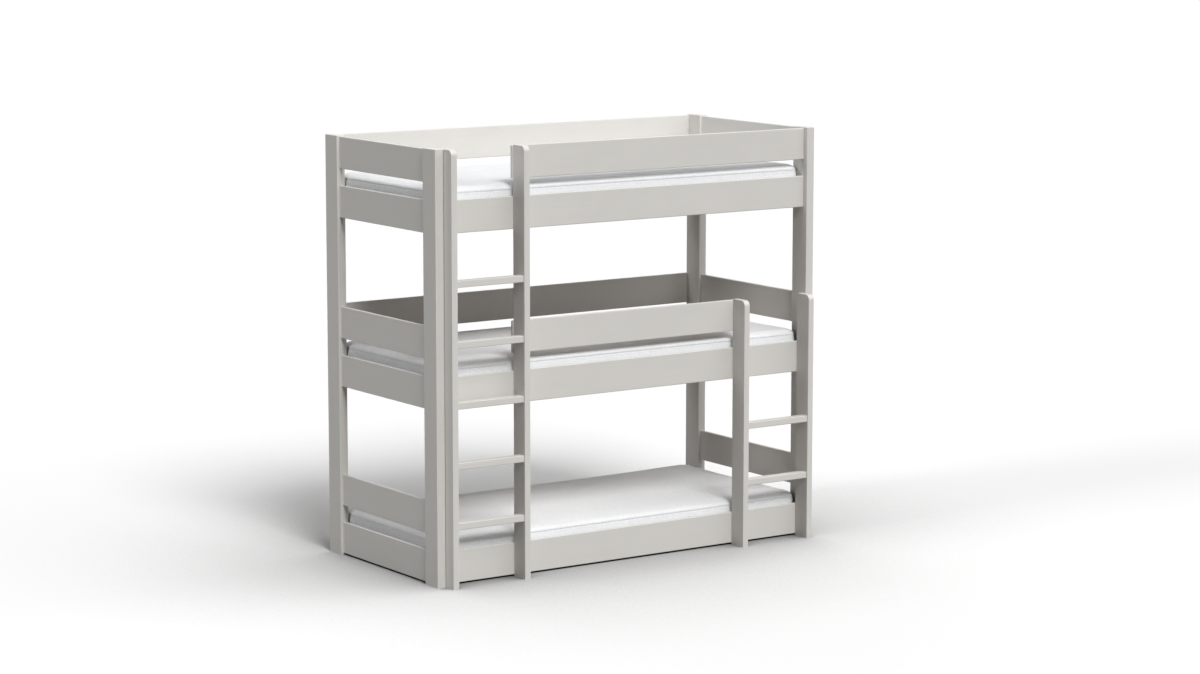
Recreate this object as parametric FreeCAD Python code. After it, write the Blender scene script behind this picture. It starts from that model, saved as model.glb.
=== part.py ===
import FreeCAD, Part
import math
import os
from collections import namedtuple

# Triple bunk bed: three beds between four corner posts, with a tall and a short ladder.
# Sizes are in millimetres. The origin is on the floor, under the middle of the footprint.
# +X points right for someone facing the ladders, +Y to the back and +Z up.

# Mattresses: the bed is built round them
mattress_length = 2000.0
mattress_width = 900.0
mattress_height = 120.0
mattress_crown = 7.0
mattress_crown_reach = 300.0
mattress_corner = 50.0
mattress_roll = 16.0
mattress_seam_depth = 3.0
mattress_draw_in = 4.0
mattress_end_gap = 3.0
mattress_side_gap = 1.5
mattress_seat_gap = 0.3

# Corner posts
post_width = 42.0
post_depth = 107.0
post_edge = 3.0
post_top_edge = 2.0
post_rise = 4.0

# Rails and guards
board_height = 147.0
board_thickness = 16.0
board_edge = 3.0
front_setback = 26.5
floor_gap = 8.0
bunk_pitch = 783.0
guard_gap = 78.0
guard_overhang = 4.0

# Ladders
stile_thickness = 30.0
stile_reach = 64.0
stile_top_round = 25.0
stile_edge = 2.0
ladder_clearance = 0.5
ladder_gap = 347.5
rung_height = 30.0
rung_depth = 40.0
rung_setback = 6.0
rung_edge = 2.5
rung_pitch = 270.0
tall_first_step = 295.0
tall_rungs = 5
short_first_step = 320.0
short_rungs = 2

# Ledgers and slats
ledger_height = 30.0
ledger_thickness = 22.0
ledger_rise = 29.0
ledger_edge = 2.0
ledger_play = 1.0
slat_count = 14
slat_width = 80.0
slat_thickness = 18.0
slat_edge = 2.0
slat_margin = 15.0
slat_play = 1.0

# Wood dowels
dowel_diameter = 8.0
dowel_length = 40.0
dowel_chamfer = 1.0
board_dowel_offset = 45.0
rung_dowel_offset = 10.0

# Bed bolts and their barrel nuts
bed_bolt_diameter = 6.0
bed_bolt_grip = 28.0
bed_bolt_tail = 4.0
barrel_nut_diameter = 10.0
barrel_nut_inset = 32.0
barrel_nut_cover = 2.0
barrel_nut_slot_width = 1.2
barrel_nut_slot_depth = 1.5

# Ladder bolts and their insert nuts
ladder_bolt_diameter = 6.0
ladder_bolt_head_diameter = 11.6
ladder_bolt_head_height = 3.6
ladder_bolt_socket = 4.0
ladder_bolt_socket_depth = 2.0
ladder_bolt_height = 95.0
guard_bolt_offset = 40.0
insert_nut_diameter = 10.0
insert_nut_length = 13.0

# Countersunk wood screws
screw_diameter = 4.0
screw_head_diameter = 8.0
screw_head_height = 3.0
screw_cross_length = 4.4
screw_cross_width = 1.0
screw_cross_depth = 1.6
ledger_screw_bite = 10.0
slat_screw_bite = 17.0

# Room round a fastener in its hole
hole_clearance = 0.1
hole_end_clearance = 0.5

# Steps in which a mattress's curves are drawn
roll_steps = 4
border_steps = 6
crown_steps = 3

LEVELS = ("low", "mid", "top")
PARALLEL_COSINE = 0.999
X = FreeCAD.Vector(1, 0, 0)
Y = FreeCAD.Vector(0, 1, 0)
Z = FreeCAD.Vector(0, 0, 1)

# Planes along the length, measured from the middle
post_inner = mattress_length / 2 + mattress_end_gap
post_outer = post_inner + post_width
near_stile = post_inner - ladder_clearance - stile_thickness
far_stile = near_stile - ladder_gap - stile_thickness
guard_end = far_stile + stile_thickness + guard_overhang

# Planes along the depth, from the ladder's front to the back of the posts
bed_inside = mattress_width + 2 * mattress_side_gap
bed_depth = front_setback + board_thickness + bed_inside + board_thickness
ladder_front = -(stile_reach + bed_depth) / 2
post_front = ladder_front + stile_reach
post_back = post_front + bed_depth
board_front = post_front + front_setback
front_inner = board_front + board_thickness
back_inner = post_back - board_thickness
bed_middle = (front_inner + back_inner) / 2

Board = namedtuple("Board", "name x0 x1 y0 y1 z0")
Site = namedtuple("Site", "point way")


def rail_bottom(level):
    return floor_gap + LEVELS.index(level) * bunk_pitch


def guard_bottom(level):
    return rail_bottom(level) + board_height + guard_gap


def slat_bottom(level):
    return rail_bottom(level) + ledger_rise + ledger_height


def ladder_top(level):
    return guard_bottom(level) + board_height + post_rise


def box(x0, x1, y0, y1, z0, z1):
    return Part.makeBox(x1 - x0, y1 - y0, z1 - z0, FreeCAD.Vector(x0, y0, z0))


def runs_along(edge, axis):
    step = edge.Vertexes[-1].Point - edge.Vertexes[0].Point
    return step.Length > 0 and abs(step.dot(axis)) > PARALLEL_COSINE * step.Length


def rounded(shape, radius, chosen):
    """The shape with the edges that are chosen rounded."""
    return shape.makeFillet(radius, [edge for edge in shape.Edges if chosen(edge)])


def placed(solid, site):
    """A solid drawn upwards from the origin, moved to the site and pointed its way."""
    solid.Placement = FreeCAD.Placement(site.point, FreeCAD.Rotation(Z, site.way))
    return solid


def turned(profile, site):
    """A round solid from (radius, distance) pairs, its axis starting at the site and going its way."""
    ring = [FreeCAD.Vector(0, 0, profile[0][1])]
    ring += [FreeCAD.Vector(radius, 0, distance) for radius, distance in profile]
    ring += [FreeCAD.Vector(0, 0, profile[-1][1]), ring[0]]
    return placed(Part.Face(Part.makePolygon(ring)).revolve(FreeCAD.Vector(), Z, 360), site)


def bar(length, width, depth):
    """A straight bar with its middle over the origin."""
    return box(-length / 2, length / 2, -width / 2, width / 2, 0, depth)


def hexagon(across_flats, depth):
    """An upright six-sided prism over the origin."""
    reach = across_flats / math.sqrt(3)
    turns = [math.pi / 3 * side for side in range(6)]
    corners = [FreeCAD.Vector(reach * math.cos(turn), reach * math.sin(turn), 0) for turn in turns]
    return Part.Face(Part.makePolygon(corners + corners[:1])).extrude(Z * depth)


def moved(site, along, way=None):
    """A site further along its own way, or along another way."""
    return Site(site.point + (way or site.way) * along, site.way)


# Posts

def corner_post(side, y0):
    """One post; side is -1 at the left and 1 at the right."""
    x0, x1 = sorted((side * post_inner, side * post_outer))
    post = box(x0, x1, y0, y0 + post_depth, 0, ladder_top("top"))
    post = rounded(post, post_edge, lambda edge: runs_along(edge, Z))
    rim = ladder_top("top") - post_top_edge
    return rounded(post, post_top_edge, lambda edge: edge.BoundBox.ZMin > rim)


def posts():
    for row, y0 in (("front", post_front), ("back", post_back - post_depth)):
        for side, hand in ((-1, "left"), (1, "right")):
            yield f"{row}_{hand}_post", corner_post(side, y0)


# Rails and guards

def long_boards():
    """Boards along the length: a rail front and back on each bunk, and the upper bunks' guards."""
    for level in LEVELS:
        z0 = rail_bottom(level)
        yield Board(f"{level}_front_rail", -post_inner, post_inner, board_front, front_inner, z0)
        yield Board(f"{level}_back_rail", -post_inner, post_inner, back_inner, post_back, z0)
    for level in LEVELS[1:]:
        z0 = guard_bottom(level)
        front_stop = post_inner if level == "top" else guard_end
        yield Board(f"{level}_front_guard", -guard_end, front_stop, board_front, front_inner, z0)
        yield Board(f"{level}_back_guard", -post_inner, post_inner, back_inner, post_back, z0)


def end_boards():
    """Boards across the ends, in the middle of the posts: a rail and a guard at each end of each bunk."""
    y0, y1 = post_front + post_depth, post_back - post_depth
    outer = post_outer - (post_width - board_thickness) / 2
    for level in LEVELS:
        for kind, z0 in (("rail", rail_bottom(level)), ("guard", guard_bottom(level))):
            yield Board(f"{level}_left_{kind}", -outer, -outer + board_thickness, y0, y1, z0)
            yield Board(f"{level}_right_{kind}", outer - board_thickness, outer, y0, y1, z0)


def plank(board, axis):
    """A board with its long edges rounded, and also the ends that meet no post."""
    shape = box(board.x0, board.x1, board.y0, board.y1, board.z0, board.z0 + board_height)

    def is_round(edge):
        free_end = axis == X and abs(edge.CenterOfMass.x) < post_inner - board_edge
        return runs_along(edge, axis) or free_end

    return rounded(shape, board_edge, is_round)


# Ladders

def ladder_sides():
    """Each ladder: its name, its side of the bed, the bunk that it climbs to, first step and rung count."""
    yield "tall_ladder", -1, "top", tall_first_step, tall_rungs
    yield "short_ladder", 1, "mid", short_first_step, short_rungs


def stile_start(side, distance):
    """The low X face of a stile whose inner face lies this far from the middle."""
    return distance if side > 0 else -distance - stile_thickness


def stile(x0, top):
    """An upright plank on edge, its top front corner a quarter round."""
    arc_start = FreeCAD.Vector(x0, ladder_front, top - stile_top_round)
    arc_end = FreeCAD.Vector(x0, ladder_front + stile_top_round, top)
    bulge = stile_top_round * (1 - math.sqrt(0.5))
    arc_middle = FreeCAD.Vector(x0, ladder_front + bulge, top - bulge)
    back_top = FreeCAD.Vector(x0, board_front, top)
    back_foot = FreeCAD.Vector(x0, board_front, 0)
    front_foot = FreeCAD.Vector(x0, ladder_front, 0)
    outline = Part.Wire([
        Part.LineSegment(back_foot, front_foot).toShape(),
        Part.LineSegment(front_foot, arc_start).toShape(),
        Part.Arc(arc_start, arc_middle, arc_end).toShape(),
        Part.LineSegment(arc_end, back_top).toShape(),
        Part.LineSegment(back_top, back_foot).toShape(),
    ])
    shape = Part.Face(outline).extrude(X * stile_thickness)

    def is_round(edge):
        """The side edges, except at the foot and against the boards."""
        middle = edge.CenterOfMass
        free = middle.z > stile_edge and middle.y < board_front - stile_edge
        return free and not runs_along(edge, X)

    return rounded(shape, stile_edge, is_round)


def rung_bottom(first_step, number):
    return first_step + number * rung_pitch - rung_height


def rung(side, z0):
    x0, x1 = sorted((side * (far_stile + stile_thickness), side * near_stile))
    y0 = ladder_front + rung_setback
    shape = box(x0, x1, y0, y0 + rung_depth, z0, z0 + rung_height)
    return rounded(shape, rung_edge, lambda edge: runs_along(edge, X))


def ladders():
    for name, side, level, first_step, count in ladder_sides():
        hands = {side: near_stile, -side: far_stile}
        for hand, word in ((-1, "left"), (1, "right")):
            yield f"{name}_{word}_stile", stile(stile_start(side, hands[hand]), ladder_top(level))
        for number in range(count):
            yield f"{name}_rung_{number + 1}", rung(side, rung_bottom(first_step, number))


# Ledgers and slats

def ledgers():
    rows = (("front", front_inner), ("back", back_inner - ledger_thickness))
    reach = post_inner - ledger_play
    for level in LEVELS:
        z0 = rail_bottom(level) + ledger_rise
        for row, y0 in rows:
            shape = box(-reach, reach, y0, y0 + ledger_thickness, z0, z0 + ledger_height)
            yield f"{level}_{row}_ledger", rounded(shape, ledger_edge, lambda edge: runs_along(edge, X))


def slat_centres():
    first = -post_inner + slat_margin + slat_width / 2
    step = -2 * first / (slat_count - 1)
    return [first + number * step for number in range(slat_count)]


def slat(x, z0):
    y0, y1 = front_inner + slat_play, back_inner - slat_play
    shape = box(x - slat_width / 2, x + slat_width / 2, y0, y1, z0, z0 + slat_thickness)
    return rounded(shape, slat_edge, lambda edge: runs_along(edge, Y))


# Mattresses

def mattress_outline(inset, z):
    """The plan at one height: round corners, and sides drawn in between them."""
    a = mattress_length / 2 - inset
    b = mattress_width / 2 - inset
    r = mattress_corner
    cut = r * (1 - math.sqrt(0.5))
    bow = mattress_draw_in
    arcs = (
        ((r - a, -b), (0, bow - b), (a - r, -b)),
        ((a - r, -b), (a - cut, cut - b), (a, r - b)),
        ((a, r - b), (a - bow, 0), (a, b - r)),
        ((a, b - r), (a - cut, b - cut), (a - r, b)),
        ((a - r, b), (0, b - bow), (r - a, b)),
        ((r - a, b), (cut - a, b - cut), (-a, b - r)),
        ((-a, b - r), (bow - a, 0), (-a, r - b)),
        ((-a, r - b), (cut - a, cut - b), (r - a, -b)),
    )
    edges = [Part.Arc(*[FreeCAD.Vector(x, y, z) for x, y in arc]).toShape() for arc in arcs]
    return Part.Wire(edges)


def mattress_profile():
    """Inset and height up the side: a rolled edge, a seam, a full border, a seam, a roll and the crown."""
    roll, seam, top = mattress_roll, mattress_seam_depth, mattress_height
    turns = [math.pi / 2 * step / roll_steps for step in range(roll_steps + 1)]
    for turn in turns:
        yield roll * (1 - math.sin(turn)), roll * (1 - math.cos(turn))
    border_low, border_high = roll + seam, top - roll - seam
    for step in range(border_steps + 1):
        part = step / border_steps
        yield seam * (1 - math.sin(math.pi * part)), border_low + part * (border_high - border_low)
    for turn in turns:
        yield roll * (1 - math.cos(turn)), top - roll + roll * math.sin(turn)
    for step in range(1, crown_steps + 1):
        part = step / crown_steps
        yield roll + part * (mattress_crown_reach - roll), top + mattress_crown * (1 - (1 - part) ** 2)


def mattress(level):
    seat = slat_bottom(level) + slat_thickness + mattress_seat_gap
    sections = [mattress_outline(inset, height) for inset, height in mattress_profile()]
    shape = Part.makeLoft(sections, True, True)
    shape.translate(FreeCAD.Vector(0, bed_middle, seat))
    return shape


# Places of the fasteners

def board_middle(board):
    return board.z0 + board_height / 2


def post_joints():
    """Where a long board ends on a post: the middle of its end and the way into the post."""
    for board in long_boards():
        for x, way in ((board.x0, -X), (board.x1, X)):
            if abs(x) == post_inner:
                point = FreeCAD.Vector(x, board.y0 + board_thickness / 2, board_middle(board))
                yield Site(point, way)


def end_frame_joints():
    for board in end_boards():
        for y, way in ((board.y0, -Y), (board.y1, Y)):
            point = FreeCAD.Vector(board.x0 + board_thickness / 2, y, board_middle(board))
            yield Site(point, way)


def rung_joints():
    y = ladder_front + rung_setback + rung_depth / 2
    for _, side, _, first_step, count in ladder_sides():
        for number in range(count):
            z = rung_bottom(first_step, number) + rung_height / 2
            yield Site(FreeCAD.Vector(side * near_stile, y, z), X * side)
            yield Site(FreeCAD.Vector(side * (far_stile + stile_thickness), y, z), X * -side)


def ladder_bolt_sites():
    """Bolt heads on the boards' inner faces: one in each rail that a stile crosses, two in each guard end."""
    for _, side, level, _, _ in ladder_sides():
        for distance in (near_stile, far_stile):
            x = side * (distance + stile_thickness / 2)
            for crossed in LEVELS[:LEVELS.index(level) + 1]:
                heights = [rail_bottom(crossed) + ladder_bolt_height]
                if distance == far_stile and crossed != "low":
                    middle = guard_bottom(crossed) + board_height / 2
                    heights += [middle - guard_bolt_offset, middle + guard_bolt_offset]
                for z in heights:
                    yield Site(FreeCAD.Vector(x, front_inner, z), -Y)


def ledger_screw_sites():
    """Screw heads on the ledgers' inner faces, in every second space between slats."""
    centres = slat_centres()
    spaces = [(low + high) / 2 for low, high in zip(centres, centres[1:])][::2]
    for level in LEVELS:
        z = rail_bottom(level) + ledger_rise + ledger_height / 2
        for x in spaces:
            yield Site(FreeCAD.Vector(x, front_inner + ledger_thickness, z), -Y)
            yield Site(FreeCAD.Vector(x, back_inner - ledger_thickness, z), Y)


def slat_screw_sites():
    for level in LEVELS:
        z = slat_bottom(level) + slat_thickness
        for x in slat_centres():
            yield Site(FreeCAD.Vector(x, front_inner + ledger_thickness / 2, z), -Z)
            yield Site(FreeCAD.Vector(x, back_inner - ledger_thickness / 2, z), -Z)


# Fasteners: each has its solid, and the hole that it needs

def dowel(site, room=0.0, end_room=0.0):
    """A dowel, half on each side of the joint. With room round it, it is its own hole."""
    radius = dowel_diameter / 2 + room
    length = dowel_length + 2 * end_room
    chamfer = 0 if room else dowel_chamfer
    profile = [(radius, chamfer), (radius, length - chamfer)]
    if chamfer:
        profile = [(radius - chamfer, 0)] + profile + [(radius - chamfer, length)]
    return turned(profile, moved(site, -length / 2))


def bed_bolt(site, room=0.0, end_room=0.0):
    radius = bed_bolt_diameter / 2 + room
    tail = barrel_nut_inset + barrel_nut_diameter / 2 + bed_bolt_tail + end_room
    return turned([(radius, 0), (radius, tail + bed_bolt_grip + end_room)], moved(site, -tail))


def barrel_nut_site(joint):
    """The nut's slotted end, a little below the board's back face, so that no nut shows from the front."""
    seat = moved(joint, -barrel_nut_inset)
    return Site(seat.point + Y * (board_thickness / 2 - barrel_nut_cover), -Y)


def barrel_nut(joint):
    length = board_thickness - 2 * barrel_nut_cover
    radius = barrel_nut_diameter / 2
    site = barrel_nut_site(joint)
    nut = turned([(radius, 0), (radius, length)], site)
    slot = placed(bar(barrel_nut_diameter, barrel_nut_slot_width, barrel_nut_slot_depth), site)
    return nut.cut([bed_bolt(joint, hole_clearance), slot])


def barrel_nut_hole(joint):
    site = moved(barrel_nut_site(joint), -barrel_nut_cover)
    radius = barrel_nut_diameter / 2 + hole_clearance
    return turned([(radius, 0), (radius, board_thickness - barrel_nut_cover)], site)


def ladder_bolt_length():
    return board_thickness + insert_nut_length


def ladder_bolt(site):
    head, shank = ladder_bolt_head_diameter / 2, ladder_bolt_diameter / 2
    profile = [(head, 0), (head, ladder_bolt_head_height), (shank, ladder_bolt_head_height)]
    bolt = turned(profile + [(shank, ladder_bolt_length())], site)
    return bolt.cut(placed(hexagon(ladder_bolt_socket, ladder_bolt_socket_depth), site))


def insert_nut(site):
    outer, bore = insert_nut_diameter / 2, ladder_bolt_diameter / 2 + hole_clearance
    seat = moved(site, board_thickness)
    body = turned([(outer, 0), (outer, insert_nut_length)], seat)
    return body.cut(turned([(bore, 0), (bore, insert_nut_length)], seat))


def ladder_bolt_hole(site):
    """Counterbore and shank hole in the board, then the insert nut's pocket in the stile."""
    head = ladder_bolt_head_diameter / 2 + hole_clearance
    shank = ladder_bolt_diameter / 2 + hole_clearance
    pocket = insert_nut_diameter / 2 + hole_clearance
    end = ladder_bolt_length() + hole_end_clearance
    profile = [(head, 0), (head, ladder_bolt_head_height), (shank, ladder_bolt_head_height)]
    profile += [(shank, board_thickness), (pocket, board_thickness), (pocket, end)]
    return turned(profile, site)


def screw_body(site, length, room=0.0):
    """A countersunk screw with its head flush at the site. With room round it, it is its own hole."""
    head, shank = screw_head_diameter / 2 + room, screw_diameter / 2 + room
    return turned([(head, 0), (shank, screw_head_height), (shank, length + room)], site)


def screw(site, length):
    """A screw with a cross recess in its head."""
    across = placed(bar(screw_cross_length, screw_cross_width, screw_cross_depth), site)
    along = placed(bar(screw_cross_width, screw_cross_length, screw_cross_depth), site)
    return screw_body(site, length).cut([across, along])


def ledger_screw_length():
    return ledger_thickness + ledger_screw_bite


def slat_screw_length():
    return slat_thickness + slat_screw_bite


def spread(sites, offset, way):
    """Each site twice, offset both ways."""
    return [moved(site, sign * offset, way) for site in sites for sign in (-1, 1)]


# Assembly

def all_sites():
    joints = list(post_joints())
    return {
        "joints": joints,
        "rail_dowels": spread(joints, board_dowel_offset, Z),
        "end_frame_dowels": spread(end_frame_joints(), board_dowel_offset, Z),
        "rung_dowels": spread(rung_joints(), rung_dowel_offset, Y),
        "ladder_bolts": list(ladder_bolt_sites()),
        "ledger_screws": list(ledger_screw_sites()),
        "slat_screws": list(slat_screw_sites()),
    }


def fasteners(sites):
    for name in ("rail_dowels", "end_frame_dowels", "rung_dowels"):
        yield name, [dowel(site) for site in sites[name]]
    yield "bed_bolts", [bed_bolt(joint) for joint in sites["joints"]]
    yield "barrel_nuts", [barrel_nut(joint) for joint in sites["joints"]]
    yield "ladder_bolts", [ladder_bolt(site) for site in sites["ladder_bolts"]]
    yield "insert_nuts", [insert_nut(site) for site in sites["ladder_bolts"]]
    yield "ledger_screws", [screw(site, ledger_screw_length()) for site in sites["ledger_screws"]]
    yield "slat_screws", [screw(site, slat_screw_length()) for site in sites["slat_screws"]]


def holes(sites):
    for name in ("rail_dowels", "end_frame_dowels", "rung_dowels"):
        yield from (dowel(site, hole_clearance, hole_end_clearance) for site in sites[name])
    for joint in sites["joints"]:
        yield bed_bolt(joint, hole_clearance, hole_end_clearance)
        yield barrel_nut_hole(joint)
    yield from (ladder_bolt_hole(site) for site in sites["ladder_bolts"])
    yield from (screw_body(site, ledger_screw_length(), hole_clearance) for site in sites["ledger_screws"])
    yield from (screw_body(site, slat_screw_length(), hole_clearance) for site in sites["slat_screws"])


def drilled(shape, drillings):
    """The shape with every hole that reaches it."""
    near = [hole for hole in drillings if hole.BoundBox.intersect(shape.BoundBox)]
    return shape.cut(near) if near else shape


def timber():
    """Every wooden piece but the slats, before it is drilled."""
    yield from posts()
    for board in long_boards():
        yield board.name, plank(board, X)
    for board in end_boards():
        yield board.name, plank(board, Y)
    yield from ladders()
    yield from ledgers()


def build():
    sites = all_sites()
    drillings = list(holes(sites))
    pieces = {name: drilled(shape, drillings) for name, shape in timber()}
    for level in LEVELS:
        slats = [drilled(slat(x, slat_bottom(level)), drillings) for x in slat_centres()]
        pieces[f"{level}_slats"] = Part.makeCompound(slats)
        pieces[f"{level}_mattress"] = mattress(level)
    for name, solids in fasteners(sites):
        pieces[name] = Part.makeCompound(solids)
    return pieces


os.makedirs("parts", exist_ok=True)
for node, piece in build().items():
    piece.exportStep(f"parts/{node}.step")
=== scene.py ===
import math

import bpy
import numpy as np
from mathutils import Matrix, Vector


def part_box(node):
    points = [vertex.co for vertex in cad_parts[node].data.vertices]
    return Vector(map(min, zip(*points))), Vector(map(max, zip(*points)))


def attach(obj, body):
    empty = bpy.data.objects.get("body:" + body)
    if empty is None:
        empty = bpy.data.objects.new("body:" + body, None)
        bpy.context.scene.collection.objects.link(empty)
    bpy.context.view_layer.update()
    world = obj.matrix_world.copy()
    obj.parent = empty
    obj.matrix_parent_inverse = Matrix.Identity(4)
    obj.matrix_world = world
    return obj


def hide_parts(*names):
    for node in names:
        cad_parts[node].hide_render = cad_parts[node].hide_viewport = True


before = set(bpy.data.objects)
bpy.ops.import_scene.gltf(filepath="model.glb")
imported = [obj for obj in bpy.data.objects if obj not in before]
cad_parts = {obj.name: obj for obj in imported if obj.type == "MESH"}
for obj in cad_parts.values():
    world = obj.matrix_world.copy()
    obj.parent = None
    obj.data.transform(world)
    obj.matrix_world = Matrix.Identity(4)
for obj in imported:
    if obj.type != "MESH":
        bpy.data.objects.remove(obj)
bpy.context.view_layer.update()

# Looks of a triple bunk bed: painted boards, bare slats, plated fasteners and sewn mattresses.
# Lengths are in metres, in the frame of the solids: X along the beds, Y to the back, Z up.

SCENE = bpy.context.scene
LEVELS = ("low", "mid", "top")
SIDES = ("front", "back")
ENDS = ("left", "right")
LADDER_RUNGS = {"tall_ladder": 5, "short_ladder": 2}

# Keeps a division or an angle defined where a length is nothing.
TINY = 1e-9

# Paint, wood, metal and cloth colours, linear.
PAINT = (0.622, 0.606, 0.576)
PINE_LIGHT = (0.68, 0.49, 0.29)
PINE_DARK = (0.5, 0.31, 0.15)
PINE_KNOT = (0.2, 0.1, 0.045)
BEECH_LIGHT = (0.6, 0.4, 0.23)
BEECH_DARK = (0.42, 0.25, 0.13)
ZINC = (0.56, 0.57, 0.58)
COVER = (0.762, 0.77, 0.782)
THREAD = (0.74, 0.74, 0.73)

# Depth of each surface's relief, the spacing of growth rings and knit courses, and the yarn's twist in
# radians to the metre, along the seam and up it.
PAINT_RELIEF = 0.00014
PINE_RELIEF = 0.00025
BEECH_RELIEF = 0.00012
STEEL_RELIEF = 0.00005
COVER_RELIEF = 0.001
THREAD_RELIEF = 0.0002
RING_SPACING = 0.0075
RING_DRIFT = 0.045
COURSE_SPACING = 0.0042
YARN_TWIST = (2600, 3400)

# A mattress, measured from the middle of its underside, with its sides taken from the frame to 0.1 mm.
# Its edges roll over from the panels to the seams, and the border lies between the seams.
MATTRESS_MIN, MATTRESS_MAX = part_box("low_mattress")
HALF_LENGTH = round((MATTRESS_MAX.x - MATTRESS_MIN.x) / 2, 4)
HALF_WIDTH = round((MATTRESS_MAX.y - MATTRESS_MIN.y) / 2, 4)
CORNER = 0.05
DRAW_IN = 0.004
CROWN = 0.005
CROWN_POWER = 0.6
PANEL_INSET = 0.034
ROLL_INSET = 0.0012
ROLL_RISE = 0.0095
ROLL_HEIGHT = 0.027
TOP_SEAM = 0.091
LOW_SEAM = 0.0185
SEAM_INSET = 0.0046
BORDER_INSET = 0.0012
BORDER_POWER = 2.5

# Where the mattress mesh has its lines: steps along the sides, angles of the roll in degrees, and shares
# of the way from a seam to its roll and from the top seam to the low one.
MESH_STEP = 0.018
CORNER_STEPS = 6
ROLL_ANGLES = range(84, -1, -14)
ROLL_SHARES = (0.7, 0.45, 0.25, 0.1)
BORDER_SHARES = (0.02, 0.05, 0.1, 0.18, 0.28, 0.4, 0.5, 0.6, 0.72, 0.82, 0.9, 0.95, 0.98)

# The cover's cloth, which pressure swells, and how full the padding is.
CLOTH_QUALITY = 4
CLOTH_MASS = 0.3
CLOTH_STRETCH = 12
CLOTH_SHEAR = 5
CLOTH_BENDING = 0.6
SWELL_PRESSURE = 4
SWELL_STEPS = 20
SWELL_CAP = 0.004

# Puckers along the seams: their depth, their reach along from a corner, where they start and end beside a
# seam, and the length of their waves.
CORNER_PUCKER = 0.0008
SEAM_PUCKER = 0.0007
CORNER_PUCKER_REACH = 0.03
PUCKER_START = 0.004
PUCKER_REACH = 0.022
CORNER_WAVE = 0.0145
SEAM_WAVE = 0.062

# What keeps the puckers uneven: how far their waves wander and over what length, the patches that have
# long waves and how they break up, and phases that set the four quarters of a mattress apart.
CORNER_WANDER = 1.4
CORNER_WANDER_LENGTH = 0.011
SEAM_WANDER = 2.2
SEAM_WANDER_LENGTH = 0.19
PATCH_LENGTH = 0.137
PATCH_SHIFT = 3
PATCH_BREAK = 0.3
PATCH_BREAK_LENGTH = 0.043
RIGHT_HALF_PHASE = 2.1
BACK_HALF_PHASE = 1.3

# A stitch, and the places along it, widths and rises of its rings, as shares of its sizes.
STITCH_LENGTH = 0.0034
STITCH_PITCH = 0.0042
STITCH_RADIUS = 0.0004
STITCH_BOW = 0.0004
STITCH_SIDES = 6
STITCH_RINGS = ((-0.46, 0.6, 0.2), (-0.25, 1.0, 0.7), (0.25, 1.0, 0.7), (0.46, 0.6, 0.2))

# Lamps: name, direction round the bed from its front (right is 90), height over the floor and spread,
# all in degrees, and strength.
LAMPS = (
    ("key_front", 352, 44, 26, 0.885),
    ("soft_right", 46, 48, 70, 0.5),
    ("left_fill", 267, 24, 18, 0.315),
    ("back_top", 172, 42, 40, 0.18),
)
LAMP_DISTANCE = 8

# The floor's tone as seen, the tone that lights the bed from below, and the reach of its contact shadow;
# then how far the floor goes each way, and the lines of its mesh.
FLOOR_TONE = 0.82
FLOOR_BOUNCE = 0.08
FLOOR_SHADOW_REACH = 1.6
FLOOR_SHADOW_SAMPLES = 8
FLOOR_REACH = 90.0
FLOOR_LINES = 25

# The camera's place, its yaw, pitch and roll in degrees, how far it sees, and its lens in millimetres.
CAMERA_PLACE = (-8.47996, -12.56256, 3.24156)
CAMERA_TURN = (34.4315, 8.467, 0.039)
CAMERA_REACH = 300
LENS_LENGTH = 98.3226
SENSOR_WIDTH = 36


# Shader building


def new_material(name):
    material = bpy.data.materials.new(name)
    material.use_nodes = True
    material.node_tree.nodes.clear()
    return material


def add(tree, kind, feeds=None, **options):
    """A new shader node; feeds are values or other nodes' sockets for its inputs, by name or number."""
    node = tree.nodes.new("ShaderNode" + kind)
    for option, value in options.items():
        setattr(node, option, value)
    for socket, value in (feeds or {}).items():
        if isinstance(value, bpy.types.NodeSocket):
            tree.links.new(value, node.inputs[socket])
        else:
            node.inputs[socket].default_value = value
    return node


def place(tree, scale=(1, 1, 1), shift=(0, 0, 0)):
    """Position on the piece in metres, scaled and shifted."""
    position = add(tree, "TexCoord").outputs["Object"]
    feeds = {"Vector": position, "Scale": scale, "Location": shift}
    return add(tree, "Mapping", feeds).outputs["Vector"]


def noise(tree, at, scale=1.0, detail=3.0, rough=0.5):
    feeds = {"Vector": at, "Scale": scale, "Detail": detail, "Roughness": rough}
    return add(tree, "TexNoise", feeds).outputs[0]


def maths(tree, operation, a, b=0.0):
    return add(tree, "Math", {0: a, 1: b}, operation=operation).outputs[0]


def weighted(tree, a, a_share, b, b_share):
    """The sum of two values, each times its share."""
    return maths(tree, "ADD", maths(tree, "MULTIPLY", a, a_share), maths(tree, "MULTIPLY", b, b_share))


def remap(tree, value, low, high, to_low, to_high):
    feeds = {"Value": value, "From Min": low, "From Max": high, "To Min": to_low, "To Max": to_high}
    return add(tree, "MapRange", feeds).outputs[0]


def mixed(tree, share, first, second):
    """A colour between two colours."""
    node = add(tree, "Mix", data_type="RGBA")
    tree.links.new(share, node.inputs[0])
    for socket, value in ((node.inputs[6], first), (node.inputs[7], second)):
        if isinstance(value, bpy.types.NodeSocket):
            tree.links.new(value, socket)
        else:
            socket.default_value = (*value, 1)
    return node.outputs[2]


def shade(colour, factor):
    return tuple(min(channel * factor, 1) for channel in colour)


def waves(tree, position, spacing):
    """A sine wave along a position, with a given spacing."""
    return maths(tree, "SINE", maths(tree, "MULTIPLY", position, 2 * math.pi / spacing))


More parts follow.
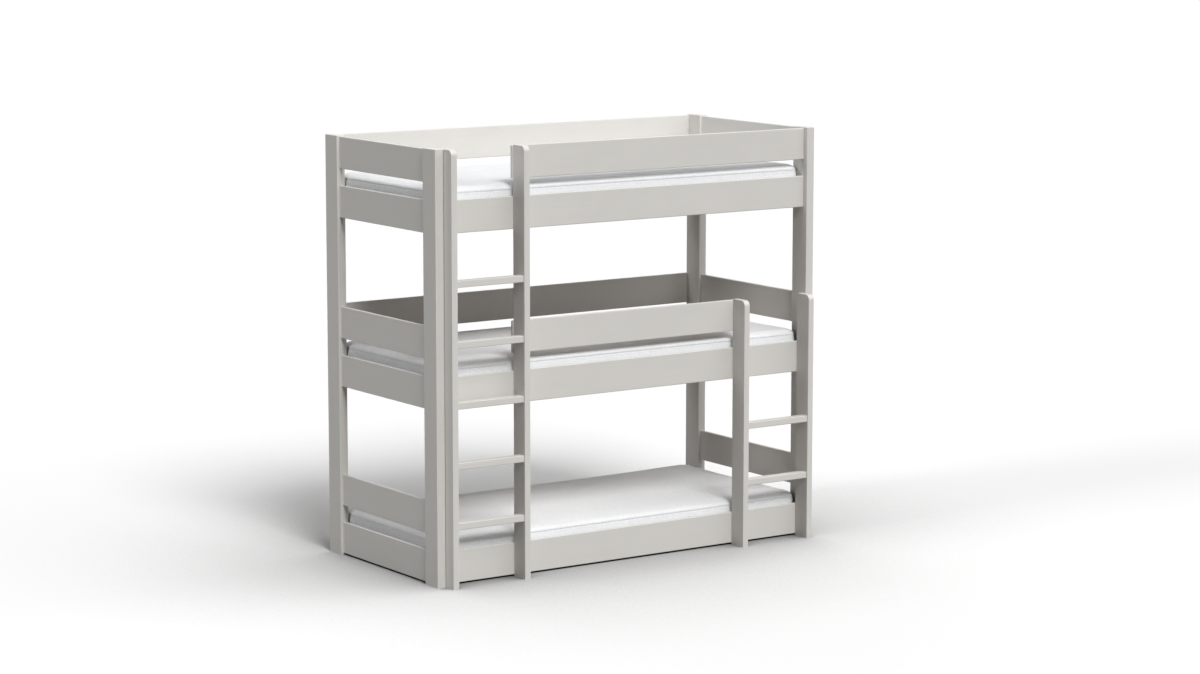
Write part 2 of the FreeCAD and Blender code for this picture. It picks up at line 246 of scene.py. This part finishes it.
def finish_surface(tree, colour, roughness, height, depth, **constants):
    """The surface itself, with its relief of the given depth."""
    bump = add(tree, "Bump", {"Height": height, "Distance": depth, "Strength": 1.0})
    feeds = {"Base Color": colour, "Roughness": roughness, "Normal": bump.outputs["Normal"]}
    feeds.update(constants)
    surface = add(tree, "BsdfPrincipled", feeds)
    add(tree, "OutputMaterial", {"Surface": surface.outputs["BSDF"]})


def along(axis, length_scale, cross_scale):
    """Scale of a grain that runs along an axis."""
    return tuple(length_scale if name == axis else cross_scale for name in "xyz")


def seen_directly(tree):
    """1 on rays from the camera, also by way of a mirror or glass, and 0 on other rays."""
    path = add(tree, "LightPath")
    seen = maths(tree, "MAXIMUM", path.outputs["Is Camera Ray"], path.outputs["Is Glossy Ray"])
    return maths(tree, "MAXIMUM", seen, path.outputs["Is Transmission Ray"])


# Materials


def painted_wood(axis):
    """Satin paint over grain along an axis: faint streaks, roller peel and slight clouding."""
    material = new_material("painted_wood_" + axis)
    tree = material.node_tree
    grain = noise(tree, place(tree, along(axis, 2.2, 130)), detail=4, rough=0.6)
    broad = noise(tree, place(tree, along(axis, 0.9, 26)), detail=3, rough=0.55)
    cloud = noise(tree, place(tree), scale=5, detail=2)
    peel = noise(tree, place(tree), scale=850, detail=1)
    streak = weighted(tree, grain, 0.55, broad, 0.45)
    tone = weighted(tree, streak, 0.6, cloud, 0.4)
    share = remap(tree, tone, 0.32, 0.68, 0.0, 1.0)
    colour = mixed(tree, share, shade(PAINT, 0.978), shade(PAINT, 1.02))
    rough = remap(tree, cloud, 0.3, 0.7, 0.38, 0.5)
    relief = maths(tree, "ADD", streak, maths(tree, "MULTIPLY", peel, 0.35))
    finish_surface(tree, colour, rough, relief, PAINT_RELIEF, **{"Specular IOR Level": 0.4})
    return material


def pine(axis, across):
    """Planed bare pine: growth rings as wavy lines along an axis, and a few knots."""
    material = new_material("pine_" + axis)
    tree = material.node_tree
    bend = noise(tree, place(tree, along(axis, 1.3, 9)), detail=3, rough=0.5)
    fine = noise(tree, place(tree, along(axis, 6, 420)), detail=3, rough=0.6)
    split = add(tree, "SeparateXYZ", {0: place(tree)})
    drift = maths(tree, "MULTIPLY", bend, RING_DRIFT)
    position = maths(tree, "ADD", split.outputs[across.upper()], drift)
    rings = remap(tree, waves(tree, position, RING_SPACING), -0.3, 1.0, 0.0, 1.0)
    knot_places = place(tree, along(axis, 4.5, 13), (0.31, 0.17, 0.7))
    cells = add(tree, "TexVoronoi", {"Vector": knot_places, "Scale": 1.0})
    knot = remap(tree, cells.outputs["Distance"], 0.07, 0.15, 1.0, 0.0)
    tone = weighted(tree, rings, 0.62, fine, 0.38)
    timber = mixed(tree, tone, PINE_LIGHT, PINE_DARK)
    colour = mixed(tree, knot, timber, PINE_KNOT)
    rough = remap(tree, tone, 0.0, 1.0, 0.72, 0.56)
    finish_surface(tree, colour, rough, tone, PINE_RELIEF, **{"Specular IOR Level": 0.35})
    return material


def beech():
    """Turned beech dowels with short dark flecks."""
    material = new_material("beech")
    tree = material.node_tree
    fleck = noise(tree, place(tree, (240, 240, 900)), detail=3, rough=0.65)
    cloud = noise(tree, place(tree), scale=60, detail=2)
    tone = remap(tree, weighted(tree, fleck, 0.7, cloud, 0.3), 0.38, 0.62, 0.0, 1.0)
    colour = mixed(tree, tone, BEECH_LIGHT, BEECH_DARK)
    rough = remap(tree, tone, 0.0, 1.0, 0.6, 0.7)
    finish_surface(tree, colour, rough, tone, BEECH_RELIEF, **{"Specular IOR Level": 0.35})
    return material


def plated_steel():
    """Zinc-plated steel: cool, cloudy, with fine tumbling marks."""
    material = new_material("plated_steel")
    tree = material.node_tree
    cloud = noise(tree, place(tree), scale=240, detail=3)
    marks = noise(tree, place(tree, (2600, 2600, 900)), detail=2, rough=0.6)
    share = remap(tree, cloud, 0.35, 0.65, 0.0, 1.0)
    colour = mixed(tree, share, shade(ZINC, 0.86), shade(ZINC, 1.08))
    dullness = maths(tree, "ADD", cloud, maths(tree, "MULTIPLY", marks, 0.5))
    rough = remap(tree, dullness, 0.5, 1.0, 0.26, 0.44)
    finish_surface(tree, colour, rough, marks, STEEL_RELIEF, Metallic=1.0)
    return material


def knitted_cover():
    """White mattress cover: a fine ribbed knit with soft mottling and a slight nap."""
    material = new_material("knitted_cover")
    tree = material.node_tree
    split = add(tree, "SeparateXYZ", {0: place(tree)})
    courses = [waves(tree, split.outputs[name], COURSE_SPACING) for name in "XYZ"]
    ribs = maths(tree, "MULTIPLY", maths(tree, "ADD", courses[0], courses[2]), courses[1])
    mottle = noise(tree, place(tree), scale=110, detail=4, rough=0.8)
    cloud = noise(tree, place(tree), scale=11, detail=2)
    nap = noise(tree, place(tree), scale=900, detail=1)
    share = remap(tree, weighted(tree, mottle, 0.85, cloud, 0.15), 0.35, 0.65, 0.0, 1.0)
    colour = mixed(tree, share, shade(COVER, 0.885), shade(COVER, 1.035))
    height = weighted(tree, ribs, 0.09, mottle, 0.8)
    height = maths(tree, "ADD", height, maths(tree, "MULTIPLY", nap, 0.2))
    rough = remap(tree, mottle, 0.3, 0.7, 0.86, 0.96)
    constants = {"Sheen Weight": 0.2, "Sheen Roughness": 0.5, "Specular IOR Level": 0.2}
    finish_surface(tree, colour, rough, height, COVER_RELIEF, **constants)
    return material


def sewing_thread():
    """Twisted polyester yarn of the stitches along the seams."""
    material = new_material("sewing_thread")
    tree = material.node_tree
    split = add(tree, "SeparateXYZ", {0: place(tree)})
    run = maths(tree, "ADD", split.outputs["X"], split.outputs["Y"])
    twist = weighted(tree, run, YARN_TWIST[0], split.outputs["Z"], YARN_TWIST[1])
    strand = maths(tree, "SINE", twist)
    fuzz = noise(tree, place(tree), scale=1200, detail=2)
    tone = remap(tree, maths(tree, "ADD", strand, fuzz), -1.0, 2.0, 0.0, 1.0)
    colour = mixed(tree, tone, shade(THREAD, 0.86), THREAD)
    rough = remap(tree, fuzz, 0.3, 0.7, 0.7, 0.85)
    constants = {"Sheen Weight": 0.15, "Specular IOR Level": 0.3}
    finish_surface(tree, colour, rough, tone, THREAD_RELIEF, **constants)
    return material


def dress(node, material):
    """Gives a CAD node one procedural material."""
    piece = bpy.data.objects[node]
    piece.data.materials.clear()
    piece.data.materials.append(material)


def dress_frame():
    paint = {axis: painted_wood(axis) for axis in "xyz"}
    for side in SIDES:
        for end in ENDS:
            dress(f"{side}_{end}_post", paint["z"])
    for level in LEVELS:
        for where in SIDES + ENDS:
            axis = "x" if where in SIDES else "y"
            dress(f"{level}_{where}_rail", paint[axis])
            if level != "low" or where in ENDS:
                dress(f"{level}_{where}_guard", paint[axis])
    for ladder, rungs in LADDER_RUNGS.items():
        for end in ENDS:
            dress(f"{ladder}_{end}_stile", paint["z"])
        for number in range(1, rungs + 1):
            dress(f"{ladder}_rung_{number}", paint["x"])


def dress_supports():
    slat_wood = pine("y", "x")
    ledger_wood = pine("x", "z")
    dowel_wood = beech()
    steel = plated_steel()
    for level in LEVELS:
        dress(f"{level}_slats", slat_wood)
        for side in SIDES:
            dress(f"{level}_{side}_ledger", ledger_wood)
    for joint in ("rail", "end_frame", "rung"):
        dress(f"{joint}_dowels", dowel_wood)
    for fastener in ("bed_bolts", "barrel_nuts", "ladder_bolts", "insert_nuts"):
        dress(fastener, steel)
    for held in ("ledger", "slat"):
        dress(f"{held}_screws", steel)


# Mattresses


def grid_lines(half):
    """Grid lines along one side: even between the corners, then finer round them."""
    straight = half - CORNER
    even = np.linspace(-straight, straight, 2 * round(straight / MESH_STEP) + 1)
    turning = straight + CORNER * np.arange(1, CORNER_STEPS + 1) / CORNER_STEPS
    return np.concatenate([-turning[::-1], even, turning])


def past_corner(x, y):
    """How far points lie past the start of the corners, along X and along Y."""
    return np.abs(x) - (HALF_LENGTH - CORNER), np.abs(y) - (HALF_WIDTH - CORNER)


def rounded(x, y, inset):
    """Grid points moved onto the outline's rounded corners, with their radius cut by an inset."""
    past_x, past_y = past_corner(x, y)
    s = np.clip(past_x / CORNER, 0, 1)
    t = np.clip(past_y / CORNER, 0, 1)
    radius = CORNER - inset
    turned_x = HALF_LENGTH - CORNER + radius * s * np.sqrt(1 - t * t / 2)
    turned_y = HALF_WIDTH - CORNER + radius * t * np.sqrt(1 - s * s / 2)
    return np.where(past_x > 0, np.sign(x) * turned_x, x), np.where(past_y > 0, np.sign(y) * turned_y, y)


def drawn_in(x, y):
    """Pulls the sides in between the corners."""
    reach_x = np.clip(1 - (x / (HALF_LENGTH - CORNER)) ** 2, 0, 1)
    reach_y = np.clip(1 - (y / (HALF_WIDTH - CORNER)) ** 2, 0, 1)
    return x * (1 - DRAW_IN * reach_y / HALF_LENGTH), y * (1 - DRAW_IN * reach_x / HALF_WIDTH)


def roll_rows():
    """Inset and rise over the seam of the rows of a rolled edge, from its panel to its seam."""
    rows = []
    for turn in ROLL_ANGLES:
        angle = math.radians(turn)
        inset = ROLL_INSET + (PANEL_INSET - ROLL_INSET) * (1 - math.cos(angle))
        rows.append((inset, ROLL_RISE + (ROLL_HEIGHT - ROLL_RISE) * math.sin(angle)))
    for share in ROLL_SHARES:
        rows.append((SEAM_INSET - (SEAM_INSET - ROLL_INSET) * share, ROLL_RISE * share))
    return rows


def side_rows():
    """Inset and height of the rows down a side: rolled edge, seam, border, seam and rolled edge."""
    top = [(inset, TOP_SEAM + rise) for inset, rise in roll_rows()]
    low = [(inset, LOW_SEAM - rise * LOW_SEAM / ROLL_HEIGHT) for inset, rise in reversed(roll_rows())]
    border = []
    for share in BORDER_SHARES:
        hollow = abs(2 * share - 1) ** BORDER_POWER
        inset = BORDER_INSET + (SEAM_INSET - BORDER_INSET) * hollow
        border.append((inset, TOP_SEAM - (TOP_SEAM - LOW_SEAM) * share))
    return top + [(SEAM_INSET, TOP_SEAM)] + border + [(SEAM_INSET, LOW_SEAM)] + low


def crown(x, y):
    """Height of the top panel over its edge."""
    reach = np.clip((1 - (x / HALF_LENGTH) ** 2) * (1 - (y / HALF_WIDTH) ** 2), 0, 1)
    return CROWN * reach ** CROWN_POWER


def panel_points(grid_x, grid_y):
    """The top panel and the flat bottom panel, in rows."""
    x, y = rounded(grid_x, grid_y, 0.0)
    x, y = drawn_in(x * (1 - PANEL_INSET / HALF_LENGTH), y * (1 - PANEL_INSET / HALF_WIDTH))
    top = np.stack([x, y, TOP_SEAM + ROLL_HEIGHT + crown(x, y)], axis=-1).reshape(-1, 3)
    bottom = np.stack([x, y, np.zeros_like(x)], axis=-1).reshape(-1, 3)
    return top, bottom


def side_points(ring_x, ring_y, inset, height):
    """One row round the side."""
    x, y = rounded(ring_x, ring_y, inset)
    x = np.clip(x, inset - HALF_LENGTH, HALF_LENGTH - inset)
    y = np.clip(y, inset - HALF_WIDTH, HALF_WIDTH - inset)
    x, y = drawn_in(x, y)
    return np.stack([x, y, np.full(len(x), height)], axis=-1)


def grid_ring(nx, ny):
    """The grid's border points, once round."""
    ring = [(i, 0) for i in range(nx - 1)]
    ring += [(nx - 1, j) for j in range(ny - 1)]
    ring += [(i, ny - 1) for i in range(nx - 1, 0, -1)]
    ring += [(0, j) for j in range(ny - 1, 0, -1)]
    return ring


def mattress_faces(nx, ny, first, rows):
    faces = []
    panel = nx * ny
    for i in range(nx - 1):
        for j in range(ny - 1):
            a, b = i * ny + j, (i + 1) * ny + j
            faces.append((a, b, b + 1, a + 1))
            faces.append((panel + a, panel + a + 1, panel + b + 1, panel + b))
    loops = [first, *rows, [panel + index for index in first]]
    for upper, lower in zip(loops, loops[1:]):
        for here in range(len(first)):
            after = (here + 1) % len(first)
            faces.append((upper[here], lower[here], lower[after], upper[after]))
    return faces


def mattress_form():
    """Points, faces and the seams' point rows of one closed mattress, before it swells."""
    xs, ys = grid_lines(HALF_LENGTH), grid_lines(HALF_WIDTH)
    nx, ny = len(xs), len(ys)
    ring = grid_ring(nx, ny)
    ring_x = np.array([xs[i] for i, _ in ring])
    ring_y = np.array([ys[j] for _, j in ring])
    points = list(panel_points(*np.meshgrid(xs, ys, indexing="ij")))
    rows, seams = [], []
    for inset, height in side_rows():
        start = 2 * nx * ny + len(rows) * len(ring)
        rows.append(list(range(start, start + len(ring))))
        points.append(side_points(ring_x, ring_y, inset, height))
        if inset == SEAM_INSET:
            seams.append(rows[-1])
    first = [i * ny + j for i, j in ring]
    return np.concatenate(points), mattress_faces(nx, ny, first, rows), seams


def mesh_object(name, points, faces):
    mesh = bpy.data.meshes.new(name)
    mesh.from_pydata([tuple(point) for point in points], [], faces)
    mesh.update()
    piece = bpy.data.objects.new(name, mesh)
    SCENE.collection.objects.link(piece)
    return piece


def read_points(mesh):
    flat = np.empty(len(mesh.vertices) * 3)
    mesh.vertices.foreach_get("co", flat)
    return flat.reshape(-1, 3)


def write_points(mesh, points):
    mesh.vertices.foreach_set("co", points.ravel())
    mesh.update()


def swollen_points(piece, seams):
    """Where cloth pressure takes the cover, with its seams held."""
    held = piece.vertex_groups.new(name="seams")
    held.add([index for seam in seams for index in seam], 1.0, "REPLACE")
    cloth = piece.modifiers.new("swell", "CLOTH")
    settings = cloth.settings
    settings.quality = CLOTH_QUALITY
    settings.mass = CLOTH_MASS
    settings.tension_stiffness = CLOTH_STRETCH
    settings.compression_stiffness = CLOTH_STRETCH
    settings.shear_stiffness = CLOTH_SHEAR
    settings.bending_stiffness = CLOTH_BENDING
    settings.use_pressure = True
    settings.uniform_pressure_force = SWELL_PRESSURE
    settings.effector_weights.gravity = 0
    settings.vertex_group_mass = held.name
    for step in range(1, SWELL_STEPS + 1):
        SCENE.frame_set(step)
    state = piece.evaluated_get(bpy.context.evaluated_depsgraph_get())
    points = read_points(state.to_mesh())
    state.to_mesh_clear()
    piece.modifiers.remove(cloth)
    piece.vertex_groups.remove(held)
    SCENE.frame_set(1)
    return points


def swell(piece, seams):
    """Fills the mattress out by cloth pressure, with a cap on how far a point may move."""
    before = read_points(piece.data)
    moved = swollen_points(piece, seams) - before
    distance = np.linalg.norm(moved, axis=1, keepdims=True) + TINY
    after = before + moved * (SWELL_CAP * np.tanh(distance / SWELL_CAP) / distance)
    after[:, 0] = np.clip(after[:, 0], -HALF_LENGTH, HALF_LENGTH)
    after[:, 1] = np.clip(after[:, 1], -HALF_WIDTH, HALF_WIDTH)
    after[:, 2] = np.maximum(after[:, 2], 0)
    write_points(piece.data, after)


def subdivide(piece):
    """Applies one subdivision to a piece's mesh."""
    finer = piece.modifiers.new("finer", "SUBSURF")
    finer.levels = 1
    finer.render_levels = 1
    state = bpy.context.evaluated_depsgraph_get()
    piece.data = bpy.data.meshes.new_from_object(piece.evaluated_get(state))
    piece.modifiers.remove(finer)


def near_seams(points):
    """1 close to a seam, falling to 0 on the seam itself and away from it."""
    x, y, z = points.T
    inset = np.minimum(HALF_LENGTH - np.abs(x), HALF_WIDTH - np.abs(y))
    from_seam = np.minimum(np.abs(z - TOP_SEAM), np.abs(z - LOW_SEAM)) + np.maximum(inset, 0)
    return np.exp(-(from_seam / PUCKER_REACH) ** 2) * np.clip(from_seam / PUCKER_START, 0, 1)


def puckers(points, turn):
    """Height of the puckers: short waves round the corners, patches of long waves along the sides."""
    x, y, _ = points.T
    past_x, past_y = past_corner(x, y)
    round_corner = CORNER * np.arctan2(np.maximum(past_y, 0), np.maximum(past_x, TINY))
    from_end = np.where(past_y <= 0, past_y, round_corner)
    run = np.where(past_x <= 0, CORNER * math.pi / 2 - past_x, from_end)
    phase = turn + RIGHT_HALF_PHASE * (x > 0) + BACK_HALF_PHASE * (y > 0)
    away = np.maximum(np.maximum(-past_x, -past_y), 0)
    by_corner = CORNER_PUCKER * np.exp(-(away / CORNER_PUCKER_REACH) ** 2)
    short_bend = CORNER_WANDER * np.sin(run / CORNER_WANDER_LENGTH + phase) + phase
    short_wave = np.sin(2 * math.pi * run / CORNER_WAVE + short_bend)
    long_bend = SEAM_WANDER * np.sin(run / SEAM_WANDER_LENGTH + phase)
    long_wave = np.sin(2 * math.pi * run / SEAM_WAVE + long_bend)
    breaks = PATCH_BREAK * np.sin(run / PATCH_BREAK_LENGTH + phase)
    patches = np.clip(np.sin(run / PATCH_LENGTH + PATCH_SHIFT * phase) + breaks, 0, 1)
    return by_corner * short_wave + SEAM_PUCKER * patches * long_wave


def gather(mesh, turn):
    """Puckers the cover along its seams; turn makes the mattresses differ."""
    points = read_points(mesh)
    normals = np.empty(len(points) * 3)
    mesh.vertices.foreach_get("normal", normals)
    height = puckers(points, turn) * near_seams(points)
    points += normals.reshape(-1, 3) * height[:, None]
    points[:, 2] = np.maximum(points[:, 2], 0)
    write_points(mesh, points)


def stitch_form():
    """One stitch of the seam, a short bowed thread along X with pointed ends, and its faces."""
    points = []
    for share, width, rise in STITCH_RINGS:
        reach = STITCH_RADIUS * width
        for side in range(STITCH_SIDES):
            angle = 2 * math.pi * side / STITCH_SIDES
            height = reach * math.sin(angle) + STITCH_BOW * rise
            points.append((STITCH_LENGTH * share, reach * math.cos(angle), height))
    start, stop = len(points), len(points) + 1
    points += [(-STITCH_LENGTH / 2, 0.0, 0.0), (STITCH_LENGTH / 2, 0.0, 0.0)]
    last = (len(STITCH_RINGS) - 1) * STITCH_SIDES
    faces = []
    for ring in range(0, last, STITCH_SIDES):
        for side in range(STITCH_SIDES):
            a, b = ring + side, ring + (side + 1) % STITCH_SIDES
            faces.append((a, b, b + STITCH_SIDES, a + STITCH_SIDES))
    for side in range(STITCH_SIDES):
        after = (side + 1) % STITCH_SIDES
        faces.append((start, after, side))
        faces.append((last + side, last + after, stop))
    return np.array(points), faces


def stitch_path(seam_points):
    """Even points along a closed seam, with the direction of the seam at each."""
    closed = np.vstack([seam_points, seam_points[:1]])
    steps = np.linalg.norm(np.diff(closed, axis=0), axis=1)
    run = np.concatenate([[0], np.cumsum(steps)])
    count = int(run[-1] / STITCH_PITCH)
    places = np.linspace(0, run[-1], count, endpoint=False)
    at = np.stack([np.interp(places, run, closed[:, axis]) for axis in range(3)], axis=-1)
    ahead = np.roll(at, -1, axis=0) - np.roll(at, 1, axis=0)
    return at, ahead / np.linalg.norm(ahead, axis=1, keepdims=True)


def stitch_rows(seam_rows):
    """Points and faces of every stitch along the seams."""
    form, form_faces = stitch_form()
    points, faces = [], []
    upward = np.array([0.0, 0.0, 1.0])
    for seam_points in seam_rows:
        for at, ahead in zip(*stitch_path(seam_points)):
            outward = np.array([ahead[1], -ahead[0], 0.0])
            start = len(points) * len(form)
            points.append(at + form[:, :1] * ahead + form[:, 1:2] * upward + form[:, 2:] * outward)
            faces += [tuple(start + index for index in face) for face in form_faces]
    return np.concatenate(points), faces


def place_piece(name, mesh, level, turn, material):
    """Sets a mattress mesh on its slats, and lets it ride on its mattress body."""
    node = f"{level}_mattress"
    low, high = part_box(node)
    middle = Vector(((low.x + high.x) / 2, (low.y + high.y) / 2, low.z))
    mesh.transform(Matrix.Translation(middle) @ Matrix.Rotation(turn, 4, "Z"))
    mesh.shade_smooth()
    mesh.materials.clear()
    mesh.materials.append(material)
    piece = bpy.data.objects.new(name, mesh)
    SCENE.collection.objects.link(piece)
    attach(piece, node)
    return piece


def make_mattresses():
    cover, thread = knitted_cover(), sewing_thread()
    points, faces, seams = mattress_form()
    model = mesh_object("mattress_model", points, faces)
    stitches = mesh_object("stitch_model", *stitch_rows([points[seam] for seam in seams]))
    swell(model, seams)
    subdivide(model)
    for number, level in enumerate(LEVELS):
        turn = math.pi * (number % 2)
        body = model.data.copy()
        gather(body, number)
        piece = place_piece(f"{level}_mattress_cover", body, level, turn, cover)
        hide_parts(f"{level}_mattress")
        place_piece(f"{level}_mattress_stitches", stitches.data.copy(), level, turn, thread)
    bpy.data.objects.remove(model)
    bpy.data.objects.remove(stitches)


# Floor, light and camera


def make_floor():
    """A plain pale floor that keeps the shadow and throws little light back under the beds."""
    steps = np.linspace(-FLOOR_REACH, FLOOR_REACH, FLOOR_LINES)
    points = [(x, y, 0.0) for x in steps for y in steps]
    faces = []
    for i in range(FLOOR_LINES - 1):
        for j in range(FLOOR_LINES - 1):
            a, b = i * FLOOR_LINES + j, (i + 1) * FLOOR_LINES + j
            faces.append((a, b, b + 1, a + 1))
    floor = mesh_object("floor", points, faces)
    material = new_material("pale_floor")
    tree = material.node_tree
    seen = seen_directly(tree)
    dull = add(tree, "BsdfDiffuse", {"Color": (FLOOR_BOUNCE, FLOOR_BOUNCE, FLOOR_BOUNCE, 1)})
    tone = (FLOOR_TONE, FLOOR_TONE, FLOOR_TONE, 1)
    feeds = {"Color": tone, "Distance": FLOOR_SHADOW_REACH}
    near = add(tree, "AmbientOcclusion", feeds, samples=FLOOR_SHADOW_SAMPLES)
    pale = add(tree, "BsdfDiffuse", {"Color": near.outputs["Color"]})
    either = add(tree, "MixShader", {0: seen, 1: dull.outputs[0], 2: pale.outputs[0]})
    add(tree, "OutputMaterial", {"Surface": either.outputs[0]})
    floor.data.materials.append(material)


def make_lights():
    for name, azimuth, elevation, spread, strength in LAMPS:
        lamp = bpy.data.lights.new(name, "SUN")
        lamp.angle = math.radians(spread)
        lamp.energy = math.pi * strength
        turn, tilt = math.radians(azimuth), math.radians(elevation)
        level = math.cos(tilt)
        towards = Vector((math.sin(turn) * level, -math.cos(turn) * level, math.sin(tilt)))
        holder = bpy.data.objects.new(name, lamp)
        holder.rotation_euler = towards.to_track_quat("Z", "Y").to_euler()
        holder.location = towards * LAMP_DISTANCE
        SCENE.collection.objects.link(holder)


def make_backdrop():
    """White behind the floor, which lights nothing."""
    world = bpy.data.worlds.new("studio")
    world.use_nodes = True
    tree = world.node_tree
    tree.nodes.clear()
    backdrop = add(tree, "Background", {"Color": (1, 1, 1, 1), "Strength": seen_directly(tree)})
    add(tree, "OutputWorld", {"Surface": backdrop.outputs[0]})
    SCENE.world = world


def make_camera():
    """A long lens at the left of the front, a little above the bed."""
    lens = bpy.data.cameras.new("camera")
    lens.sensor_width = SENSOR_WIDTH
    lens.lens = LENS_LENGTH
    lens.clip_end = CAMERA_REACH
    yaw, pitch, roll = (math.radians(angle) for angle in CAMERA_TURN)
    ahead = Vector((math.sin(yaw) * math.cos(pitch), math.cos(yaw) * math.cos(pitch), -math.sin(pitch)))
    level_right = Vector((math.cos(yaw), -math.sin(yaw), 0))
    level_up = level_right.cross(ahead)
    right = level_right * math.cos(roll) + level_up * math.sin(roll)
    up = level_up * math.cos(roll) - level_right * math.sin(roll)
    turned = Matrix((right, up, -ahead)).transposed().to_4x4()
    camera = bpy.data.objects.new("camera", lens)
    camera.matrix_world = Matrix.Translation(CAMERA_PLACE) @ turned
    SCENE.collection.objects.link(camera)
    SCENE.camera = camera


SCENE.view_settings.view_transform = "Standard"
dress_frame()
dress_supports()
make_mattresses()
make_floor()
make_lights()
make_backdrop()
make_camera()
